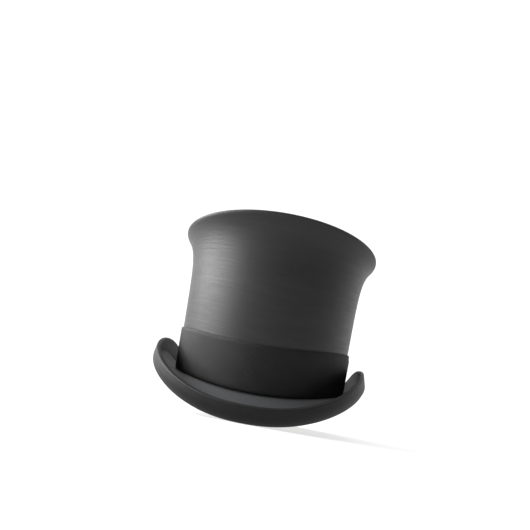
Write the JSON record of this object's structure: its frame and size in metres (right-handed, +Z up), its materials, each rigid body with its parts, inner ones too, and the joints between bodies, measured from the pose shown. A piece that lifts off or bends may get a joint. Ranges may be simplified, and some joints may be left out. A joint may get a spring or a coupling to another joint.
{
  "type": "top hat",
  "caption": "Tall hat with a bell-shaped crown, dark plush covering, ribbon band with a flat bow, and a narrow brim curled up at the sides.",
  "frame": {"origin": "on the surface the hat stands on, at the middle of its bounding box", "axes": "+Z up along the crown, -Y towards the wearer's front, +X towards the wearer's left"},
  "size_m": [0.2192, 0.2838, 0.1897],
  "materials": {
    "plush": "short brushed plush, charcoal",
    "ribbon": "ribbed grosgrain ribbon, near black",
    "under_cloth": "fine napped wool cloth, near black",
    "linen_board": "shellac-stiffened linen, matt",
    "sweat_leather": "smooth roan leather, satin",
    "reed": "leather-covered piping",
    "thread": "waxed thread",
    "lining_satin": "ivory satin",
    "lining_cloth": "plain cotton tape"
  },
  "bodies": {
    "root": {"crown_side_shell": "linen_board", "crown_tip_board": "linen_board", "brim_board": "linen_board", "brim_joint_tape": "lining_cloth", "side_cover": "plush", "tip_cover": "plush", "brim_upper_cover": "plush", "brim_under_cover": "under_cloth", "brim_binding": "ribbon", "hat_band": "ribbon", "band_bow": "ribbon", "band_bow_knot": "ribbon", "sweatband": "sweat_leather", "sweatband_reed": "reed", "sweatband_stitches": "thread", "sweatband_bow": "ribbon", "side_lining": "lining_satin", "tip_lining": "lining_satin"}
  },
  "joints": []
}
